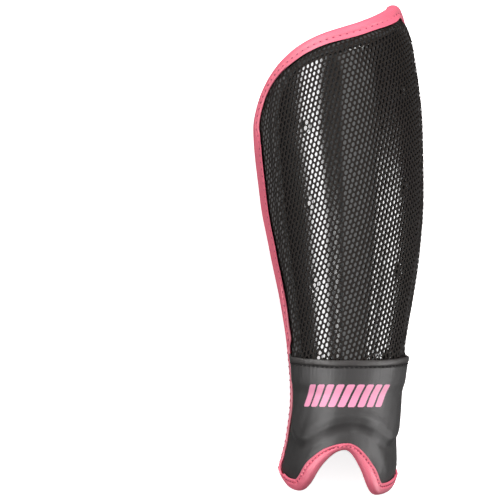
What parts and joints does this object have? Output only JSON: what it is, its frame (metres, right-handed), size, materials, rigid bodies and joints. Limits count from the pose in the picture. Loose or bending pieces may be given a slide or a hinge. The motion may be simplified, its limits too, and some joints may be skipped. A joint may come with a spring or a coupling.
{
  "type": "shin guard",
  "caption": "Hard-shell field-sports shin guard with vented shell, net cover, foam liner, bound edges and a padded ankle cuff, lying face up.",
  "frame": {"origin": "middle of the bounding box on the floor that the guard's two long edges lie on", "axes": "+Y along the shin towards the knee, +Z out of the front of the shin, +X towards the side with the higher top corner"},
  "size_m": [0.1172, 0.332, 0.0624],
  "materials": {
    "foam_black": "matt closed-cell foam",
    "shell_black": "glossy",
    "net_black": "matt open knitted net",
    "cuff_black": "satin synthetic leather",
    "hem_black": "satin synthetic leather, folded",
    "tape_pink": "woven tape with a slight sheen"
  },
  "bodies": {
    "root": {"foam_liner": "foam_black", "hard_shell": "shell_black", "mesh_cover": "net_black", "ankle_cuff": "cuff_black", "cuff_hem": "hem_black", "edge_binding": "tape_pink", "arch_binding": "tape_pink"}
  },
  "joints": []
}
